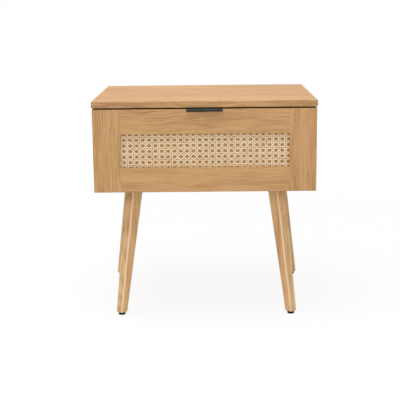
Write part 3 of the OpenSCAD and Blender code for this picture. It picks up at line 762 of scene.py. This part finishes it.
def grow(name, group, values):
    """Runs a geometry tree and returns its result as a plain mesh."""
    seed = bpy.data.objects.new(name + "_seed", bpy.data.meshes.new(name + "_seed"))
    bpy.context.scene.collection.objects.link(seed)
    run = seed.modifiers.new("grow", "NODES")
    run.node_group = group
    sockets = {s.name: s.identifier for s in group.interface.items_tree if s.in_out == "INPUT"}
    for key, value in values.items():
        run[sockets[key]] = value
    bpy.context.view_layer.update()
    mesh = bpy.data.meshes.new_from_object(
        seed.evaluated_get(bpy.context.evaluated_depsgraph_get()))
    mesh.name = name
    bpy.data.objects.remove(seed)
    return mesh


# ---------------------------------------------------------------- operators

class TABLE_OT_case(Operator):
    """Make the top, the sides, the bottom and the back of the case"""
    bl_idname = "table.case"
    bl_label = "Case"

    def execute(self, context):
        wood = context.scene.table_wood
        low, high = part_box("top_panel")
        finish = oak("oak_top", 0, 1, 0.0, gloss=1.50, rim=high.z - wood.top_ease)
        slab("top_slab", low, high, wood.top_ease, finish, "case", ["top_panel"])
        for side, start in zip(SIDES, (1.7, 2.9)):
            eased(f"side_panel_{side}", wood.board_ease, oak(f"oak_side_{side}", 1, 2, start),
                  "case")
        eased("bottom_panel", wood.board_ease, oak("oak_bottom", 0, 1, 4.1), "case")
        back = oak("oak_back", 0, 2, 5.3, strength=0.7, lift=0.92)
        eased("back_panel", wood.seam_ease, back, "case")
        return {"FINISHED"}


class TABLE_OT_drawer_front(Operator):
    """Make the frame of the drawer front"""
    bl_idname = "table.drawer_front"
    bl_label = "Drawer front"

    def execute(self, context):
        ease = context.scene.table_wood.seam_ease
        # Planes for the painted gap shadow: near-black colour on the drawer front's top face, in
        # place of the shade under the top.
        gap_shadow = (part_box("drawer_rail_top")[0].y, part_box("drawer_rail_top")[1].z)
        for side, start in zip(SIDES, (0.31, 0.83)):
            finish = oak(f"oak_stile_{side}", 2, 0, start, gap_shadow=gap_shadow)
            eased(f"drawer_stile_{side}", ease, finish, "drawer", steps=2)
        for place, start in (("top", 1.21), ("bottom", 2.37)):
            finish = oak(f"oak_rail_{place}", 0, 2, start, gap_shadow=gap_shadow)
            eased(f"drawer_rail_{place}", ease, finish, "drawer", steps=2)
        dress_node("cane_retaining_beads", oak("oak_beads", 0, 2, 3.3, strength=0.6))
        return {"FINISHED"}


class TABLE_OT_cane(Operator):
    """Weave the cane in the window, in front of its board"""
    bl_idname = "table.cane"
    bl_label = "Cane"

    def execute(self, context):
        cane = context.scene.table_cane
        low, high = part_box("cane_webbing")
        window_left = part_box("drawer_stile_left")[1].x
        window_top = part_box("drawer_rail_top")[0].z
        hole = Vector((window_left + cane.first_x, (low.y + high.y) / 2, window_top - cane.first_z))
        inset = cane.slant_w * HOLD_BACK
        mesh = grow("cane_weave", cane_tree(), {
            "Pitch X": cane.pitch_x, "Pitch Y": cane.pitch_z,
            "Low X": low.x - hole.x + inset, "High X": high.x - hole.x - inset,
            "Low Y": low.z - hole.z + inset, "High Y": high.z - hole.z - inset,
            "Pair spacing": cane.pair_gap, "Straight width": cane.straight_w,
            "Slant width": cane.slant_w, "Thickness": cane.thick,
            "Weave height": cane.weave, "Finish": cane_skin()})
        mesh.transform(Matrix.Translation(hole) @ Matrix.Rotation(math.pi / 2, 4, "X"))
        add_piece("cane_weave", mesh, cane_skin(), "drawer", ["cane_webbing"])
        dress_node("cane_backing_board", fibre_board("cane_board", cane.board, grain=0.25))
        return {"FINISHED"}


class TABLE_OT_drawer_box(Operator):
    """Finish the drawer's box"""
    bl_idname = "table.drawer_box"
    bl_label = "Drawer box"

    def execute(self, context):
        ease = context.scene.table_wood.board_ease
        for n, (node, along) in enumerate((("drawer_side_left", 1), ("drawer_side_right", 1),
                                           ("drawer_box_front", 0), ("drawer_box_back", 0))):
            finish = oak(f"oak_{node}", along, 2, 6.0 + n, strength=0.55, lift=1.04)
            eased(node, ease, finish, "drawer")
        base = oak("oak_drawer_base", 0, 1, 11.0, strength=0.45, lift=1.08)
        dress_node("drawer_bottom", base)
        return {"FINISHED"}


class TABLE_OT_pull(Operator):
    """Make the black edge pull"""
    bl_idname = "table.pull"
    bl_label = "Edge pull"

    def execute(self, context):
        hard = context.scene.table_hardware
        black = powder_coat("pull_black", hard.black, rough=0.36)
        work = merged_copy("edge_pull")
        sharp = [e for e in work.edges
                 if len(e.link_faces) == 2 and e.calc_face_angle(0) > PULL_CREASE]
        made = bmesh.ops.bevel(work, geom=sharp, offset=hard.pull_ease, segments=2, profile=0.5,
                               affect="EDGES", clamp_overlap=True)
        mesh = eased_mesh(work, "edge_pull_eased", made["faces"])
        add_piece("edge_pull_eased", mesh, black, "drawer", ["edge_pull"])
        dress_node("edge_pull_screws", powder_coat("pull_screw_black", hard.black, rough=0.5))
        return {"FINISHED"}


class TABLE_OT_legs(Operator):
    """Make the four tapered legs"""
    bl_idname = "table.legs"
    bl_label = "Legs"

    def execute(self, context):
        wood = context.scene.table_wood
        for n, corner in enumerate(CORNERS):
            node = f"leg_{corner}"
            low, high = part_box(node)
            verts = [v.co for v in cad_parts[node].data.vertices]
            top = ring_of(verts, high.z)
            foot = ring_of(verts, low.z + FOOT_RING)
            mesh = self.shape(top, foot, high.z, low.z, wood)
            add_piece(f"{node}_shaped", mesh, leg_wood(f"wood_{node}", 1.7 * n + 0.4), "case",
                      [node])
        return {"FINISHED"}

    def shape(self, top, foot, z_top, z_low, wood):
        """Skin of a leg from its upper ring to its rounded foot."""
        (top_at, top_reach), (foot_at, foot_reach) = top, foot
        rings = []
        z_foot = z_low + wood.foot_round
        for i in range(LEG_STEPS + 1):
            k = i / LEG_STEPS
            middle = top_at.lerp(foot_at, k)
            reach = top_reach + (foot_reach - top_reach) * k
            rings.append(corner_ring(middle, reach, wood.leg_round, z_top + (z_foot - z_top) * k))
        for i in range(1, FOOT_STEPS + 1):
            a = i / FOOT_STEPS * math.pi / 2
            inset = wood.foot_round * FOOT_TUCK * (1 - math.cos(a))
            rings.append(corner_ring(foot_at, foot_reach - inset, wood.leg_round - inset * 0.5,
                                     z_foot - wood.foot_round * math.sin(a)))
        mesh = smooth_mesh(loft(rings), "leg", LEG_CREASE)
        per_ring = len(rings[0])
        arc = per_ring // 4 - 1
        # Where the painted highlight lies: 1 at the middle of each rounded corner, 0 where the flat
        # faces begin.
        rubbed = mesh.attributes.new("rubbed", "FLOAT", "POINT")
        rubbed.data.foreach_set("value", [math.sin(math.pi * (i % (arc + 1)) / arc)
                                          for _ring in rings for i in range(per_ring)])
        return mesh


def ring_of(verts, z):
    """Middle of a leg's outline at a height, and how far its corners reach."""
    ring = [v for v in verts if abs(v.z - z) < RING_BAND]
    xs = [v.x for v in ring]
    ys = [v.y for v in ring]
    middle = Vector(((min(xs) + max(xs)) / 2, (min(ys) + max(ys)) / 2))
    return middle, (max(xs) - min(xs)) / 2


class TABLE_OT_feet(Operator):
    """Finish the glides, their nails, the leg plates and the bolts"""
    bl_idname = "table.feet"
    bl_label = "Feet and plates"

    def execute(self, context):
        hard = context.scene.table_hardware
        plastic = moulded("glide_plastic", hard.plastic)
        plate = powder_coat("plate_black", hard.black, rough=0.5)
        for corner in CORNERS:
            dress_node(f"glide_{corner}", plastic)
            dress_node(f"leg_plate_{corner}", plate)
        zinc = plated("zinc_screws", hard.zinc, rough=0.34, run=2)
        for node in ("glide_nails", "leg_bolts", "leg_plate_screws"):
            dress_node(node, zinc)
        return {"FINISHED"}


class TABLE_OT_slides(Operator):
    """Finish the drawer slides and make their rows of balls"""
    bl_idname = "table.slides"
    bl_label = "Slides"

    def execute(self, context):
        hard = context.scene.table_hardware
        zinc = plated("zinc_slides", hard.zinc, rough=0.28)
        strip = plated("zinc_cages", [v * 0.9 for v in hard.zinc], rough=0.36)
        polished = plated("ball_steel", (0.72, 0.72, 0.73), rough=0.14)
        rows = ball_tree()
        for side in SIDES:
            for member in ("outer", "middle", "inner"):
                dress_node(f"slide_{member}_{side}", zinc)
            for row in ("outer", "inner"):
                dress_node(f"{row}_cage_{side}", strip)
                self.balls(f"{row}_balls_{side}", f"{row}_ball_row_{side}", rows, hard.balls,
                           polished)
        return {"FINISHED"}

    def balls(self, node, body, rows, count, finish):
        low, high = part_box(node)
        r = (high.x - low.x) / 2
        mesh = grow(node + "_round", rows, {
            "Count": count, "Radius": r, "Finish": finish,
            "First": ((low.x + high.x) / 2, low.y + r, low.z + r),
            "Step": (0.0, (high.y - low.y - 2 * r) / (count - 1), 0.0),
            "Row step": (0.0, 0.0, high.z - low.z - 2 * r)})
        add_piece(node + "_round", mesh, finish, body, [node])


class TABLE_OT_fasteners(Operator):
    """Finish the screws, cams, posts, dowels and buffers"""
    bl_idname = "table.fasteners"
    bl_label = "Fasteners"

    def execute(self, context):
        hard = context.scene.table_hardware
        zinc = plated("zinc_small", hard.zinc, rough=0.32, run=0)
        for node in ("slide_screws_case", "slide_screws_drawer", "cam_posts", "back_screws",
                     "drawer_box_screws", "drawer_face_screws"):
            dress_node(node, zinc)
        dress_node("cam_locks", plated("cast_zinc", [v * 0.7 for v in hard.zinc], rough=0.5, run=2))
        dress_node("wood_dowels", fibre_board("dowel_beech", (0.62, 0.45, 0.27), grain=0.12))
        dress_node("drawer_buffers", moulded("buffer_rubber", (0.28, 0.28, 0.27), rough=0.4))
        return {"FINISHED"}


class TABLE_OT_stage(Operator):
    """Make the floor, the lights, the world and the camera"""
    bl_idname = "table.stage"
    bl_label = "Stage"

    def execute(self, context):
        stage = context.scene.table_stage
        context.scene.view_settings.view_transform = "Standard"
        self.floor()
        self.world(context, stage)
        self.lamp("overhead_softbox", KEY_PLACE, KEY_AIM, KEY_SIZE, stage.key)
        self.lamp("front_softbox", FILL_PLACE, FILL_AIM, FILL_SIZE, stage.fill)
        camera = bpy.data.objects.new("camera", bpy.data.cameras.new("camera"))
        context.scene.collection.objects.link(camera)
        context.scene.camera = camera
        camera.data.sensor_width = SENSOR
        camera.data.lens = stage.lens
        aim = Euler((math.pi / 2 - stage.pitch, 0.0, stage.yaw)).to_matrix()
        turn = aim @ Matrix.Rotation(-stage.roll, 3, "Z")
        camera.matrix_world = Matrix.Translation(stage.eye) @ turn.to_4x4()
        return {"FINISHED"}

    def floor(self):
        """A pale floor that shows white to the camera but keeps a soft shadow.
        From below it can be seen through."""
        def paint(tree):
            seen = tree.node("ShaderNodeLightPath", out="Is Camera Ray")
            tone = tree.mix(seen, FLOOR_TONE, WHITE)
            pale = tree.node("ShaderNodeBsdfDiffuse", None, {"Color": tone})
            glow = tree.node("ShaderNodeEmission", None, {"Color": WHITE, "Strength": 1.0})
            x, y, _z = object_axes(tree)
            away = tree.limit(tree.math("SQRT", x * x + y * y), GLOW_FROM, GLOW_TO)
            near = tree.node("ShaderNodeMixShader", None,
                             {0: seen * (FLOOR_GLOW + away * (1.0 - FLOOR_GLOW)),
                              1: pale, 2: glow})
            clear = tree.node("ShaderNodeBsdfTransparent", None, {"Color": WHITE})
            under = tree.node("ShaderNodeNewGeometry", out="Backfacing")
            return tree.node("ShaderNodeMixShader", None, {0: under, 1: near, 2: clear})

        work = bmesh.new()
        bmesh.ops.create_grid(work, x_segments=1, y_segments=1, size=FLOOR_SIZE)
        mesh = bpy.data.meshes.new("floor")
        work.to_mesh(mesh)
        work.free()
        floor = bpy.data.objects.new("floor", mesh)
        bpy.context.scene.collection.objects.link(floor)
        dress(floor, material("floor_white", paint))

    def world(self, context, stage):
        """Even light, with white behind the object."""
        world = bpy.data.worlds.new("studio")
        context.scene.world = world
        world.use_nodes = True
        world.node_tree.nodes.clear()
        tree = Tree(world.node_tree)
        path = tree.node("ShaderNodeLightPath", out="Is Camera Ray")
        shown = tree.math("MINIMUM", path + path.other("Is Glossy Ray") * MIRRORED, 1.0)
        strength = stage.sky + shown * (1.0 - stage.sky)
        light = tree.node("ShaderNodeBackground", None, {"Color": WHITE, "Strength": strength})
        tree.node("ShaderNodeOutputWorld", None, {"Surface": light})

    def lamp(self, name, place, target, size, power):
        light = bpy.data.lights.new(name, "AREA")
        light.shape = "DISK"
        light.size = size
        light.energy = power
        lamp = bpy.data.objects.new(name, light)
        bpy.context.scene.collection.objects.link(lamp)
        lamp.location = place
        lamp.rotation_euler = (Vector(target) - Vector(place)).to_track_quat("-Z", "Y").to_euler()


class TABLE_PT_panel(Panel):
    """Lists the steps that finish the table"""
    bl_idname = "TABLE_PT_panel"
    bl_label = "Bedside table"
    bl_space_type = "VIEW_3D"
    bl_region_type = "UI"
    bl_category = "Table"

    def draw(self, context):
        for step in STEPS:
            self.layout.operator(step.bl_idname)
        for name, _group in GROUPS:
            box = self.layout.box()
            settings = getattr(context.scene, name)
            for key in settings.bl_rna.properties.keys():
                if key not in ("rna_type", "name"):
                    box.prop(settings, key)


STEPS = (TABLE_OT_stage, TABLE_OT_case, TABLE_OT_drawer_front, TABLE_OT_cane, TABLE_OT_drawer_box,
         TABLE_OT_pull, TABLE_OT_legs, TABLE_OT_feet, TABLE_OT_slides, TABLE_OT_fasteners)


def register():
    for _name, group in GROUPS:
        bpy.utils.register_class(group)
    for step in (*STEPS, TABLE_PT_panel):
        bpy.utils.register_class(step)
    for name, group in GROUPS:
        setattr(bpy.types.Scene, name, PointerProperty(type=group))


def unregister():
    for name, _group in GROUPS:
        delattr(bpy.types.Scene, name)
    for step in (TABLE_PT_panel, *reversed(STEPS)):
        bpy.utils.unregister_class(step)
    for _name, group in reversed(GROUPS):
        bpy.utils.unregister_class(group)


def main():
    register()
    for step in STEPS:
        getattr(bpy.ops.table, step.bl_idname.split(".")[1])()


if __name__ == "__main__":
    main()
